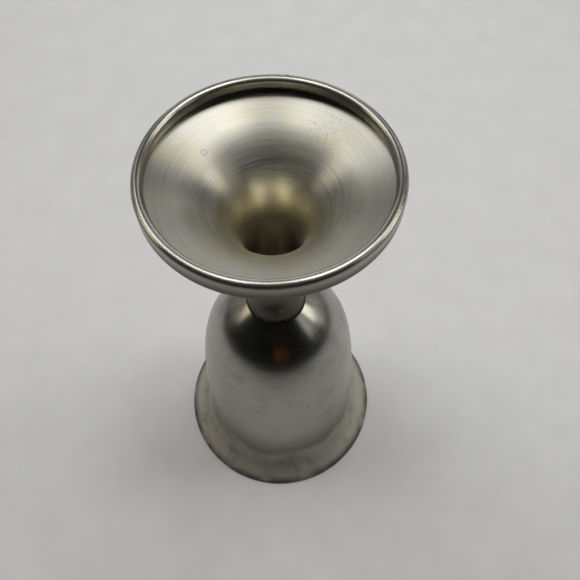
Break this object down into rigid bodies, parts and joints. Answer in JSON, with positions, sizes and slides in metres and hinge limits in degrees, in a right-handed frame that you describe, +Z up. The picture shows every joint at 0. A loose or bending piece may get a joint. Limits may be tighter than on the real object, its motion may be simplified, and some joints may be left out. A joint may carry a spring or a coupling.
{
  "type": "bar jigger",
  "caption": "Stainless bar jigger: a flared bell-shaped measure standing on its mouth, joined at the crown to a hollow trumpet-shaped stem with a rolled rim.",
  "frame": {"origin": "centre of the bell's mouth, in the plane that the lip rests on", "axes": "+Z up along the axis of both cups, from the bell's mouth to the trumpet's rim; X and Y are any two level directions, because the object is round"},
  "size_m": [0.054, 0.054, 0.105],
  "materials": {
    "bell_steel": "satin, softly brushed, with dull stains",
    "trumpet_steel": "spun, with fine concentric lines",
    "plug_steel": "plain pressed sheet",
    "solder": "dull, tarnished"
  },
  "bodies": {
    "root": {"bell_cup": "bell_steel", "trumpet_stem": "trumpet_steel", "stem_plug": "plug_steel", "solder_ring": "solder"}
  },
  "joints": []
}
